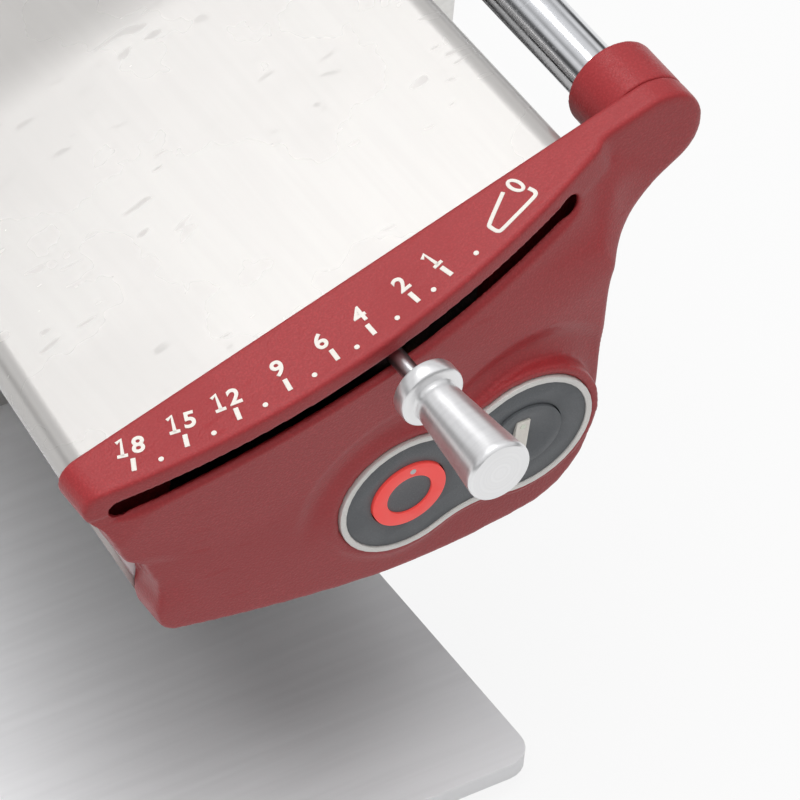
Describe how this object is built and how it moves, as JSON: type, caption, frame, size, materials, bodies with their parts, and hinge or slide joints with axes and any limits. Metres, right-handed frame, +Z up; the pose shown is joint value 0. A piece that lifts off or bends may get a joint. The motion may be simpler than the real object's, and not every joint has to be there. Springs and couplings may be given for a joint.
{
  "type": "electric food slicer",
  "caption": "Electric food slicer: sloped steel bridge body with red end caps, tube rail, upright round blade, thickness lever, push buttons and sliding carriage.",
  "frame": {"origin": "middle of the footprint, on the table under the feet", "axes": "+Z up, +Y from the operator's side to the rear, +X to the operator's right, the blade side"},
  "size_m": [0.273, 0.4278, 0.2492],
  "materials": {
    "cover_steel": "brushed, warm silver",
    "red_cap": "fine sparkle, satin dark red",
    "chrome_tube": "polished",
    "machined_steel": "turned and ground",
    "screw_steel": "zinc plated",
    "blade_steel": "ground, polished bevel",
    "guard_steel": "brushed",
    "cast_frame": "die cast",
    "knob_aluminium": "fine turned, satin",
    "pressed_steel": "zinc plated",
    "bronze": "sintered",
    "gear_plastic": "moulded",
    "dark_plastic": "fine grain",
    "foot_rubber": "matt",
    "bezel_silver": "satin",
    "panel_grey": "satin dark grey",
    "signal_red": "printed red ring",
    "mark_white": "white mark",
    "lamp_lens": "pale green lens",
    "board_green": "solder mask",
    "motor_iron": "laminated iron",
    "table_steel": "brushed"
  },
  "bodies": {
    "root": {"base_plate": "cover_steel", "foot_studs": "screw_steel", "feet": "foot_rubber", "foot_nuts": "screw_steel", "pillar": "cover_steel", "base_screws": "screw_steel", "floor_pan": "dark_plastic", "gear_casing": "cast_frame", "side_frame": "cast_frame", "frame_screws": "screw_steel", "top_cover": "cover_steel", "front_cap": "red_cap", "front_carrier": "red_cap", "rear_cap": "red_cap", "rail_tube": "chrome_tube", "tube_plugs": "dark_plastic", "tube_screws": "screw_steel", "button_bezel": "bezel_silver", "button_plate": "panel_grey", "control_board": "board_green", "switches": "dark_plastic", "pivot_bracket": "machined_steel", "pivot_pin": "machined_steel", "pivot_clip": "machined_steel", "guide_bushes": "bronze", "shaft_bearings": "machined_steel", "blade_guard": "guard_steel", "guard_posts": "machined_steel", "slice_deflector": "guard_steel", "stator": "motor_iron", "motor_brackets": "cast_frame", "motor_screws": "screw_steel", "cord_gland": "foot_rubber", "carriage_rail": "machined_steel"},
    "lever": {"lever_knob": "knob_aluminium", "lever_stem": "machined_steel", "lever_arm": "pressed_steel", "lever_hub": "pressed_steel"},
    "stop_slide": {"stop_plate": "guard_steel", "guide_rods": "machined_steel", "slide_yoke": "pressed_steel"},
    "blade_unit": {"blade": "blade_steel", "blade_hub": "machined_steel", "blade_screws": "screw_steel", "blade_shaft": "machined_steel", "drive_gear": "gear_plastic"},
    "rotor_unit": {"rotor": "motor_iron", "motor_pinion": "bronze", "motor_fan": "dark_plastic"},
    "carriage": {"carriage_table": "table_steel", "carriage_foot": "dark_plastic", "carriage_screws": "screw_steel", "carriage_handle": "dark_plastic"},
    "pusher": {"food_pusher": "dark_plastic"},
    "stop_key": {"stop_button": "panel_grey", "stop_ring": "signal_red", "stop_lamp": "lamp_lens"},
    "start_key": {"start_button": "panel_grey", "start_bar": "mark_white", "start_lamp": "lamp_lens"}
  },
  "joints": [
    {"name": "lever_swing", "type": "hinge", "parent": "root", "child": "lever", "pos_m": [-0.03186, 0.05685, 0.19638], "axis": [-0.3322, 0, 0.9432], "range_deg": [-21.4, 15.8]},
    {"name": "stop_plate_slide", "type": "slide", "parent": "root", "child": "stop_slide", "axis": [1, 0, 0], "range_m": [-0.01037, 0.00767]},
    {"name": "blade_spin", "type": "hinge", "parent": "root", "child": "blade_unit", "pos_m": [0.04449, 0.03785, 0.132], "axis": [1, 0, 0], "continuous": true},
    {"name": "rotor_spin", "type": "hinge", "parent": "root", "child": "rotor_unit", "pos_m": [-0.02449, 0.07178, 0.14796], "axis": [1, 0, 0], "continuous": true},
    {"name": "carriage_slide", "type": "slide", "parent": "root", "child": "carriage", "axis": [0, -1, 0], "range_m": [0, 0.18]},
    {"name": "pusher_slide", "type": "slide", "parent": "carriage", "child": "pusher", "axis": [-1, 0, 0], "range_m": [0, 0.062]},
    {"name": "stop_press", "type": "slide", "parent": "root", "child": "stop_key", "axis": [0.0331, 0.9973, 0.0663], "range_m": [0, 0.001], "stiffness_N_per_m": 300, "springref_m": -0.001},
    {"name": "start_press", "type": "slide", "parent": "root", "child": "start_key", "axis": [0.0331, 0.9973, 0.0663], "range_m": [0, 0.001], "stiffness_N_per_m": 300, "springref_m": -0.001}
  ],
  "couplings": [
    {"joint": "stop_plate_slide", "follows": "lever_swing", "m_per_rad": 0.027724},
    {"joint": "rotor_spin", "follows": "blade_spin", "ratio": -4}
  ]
}
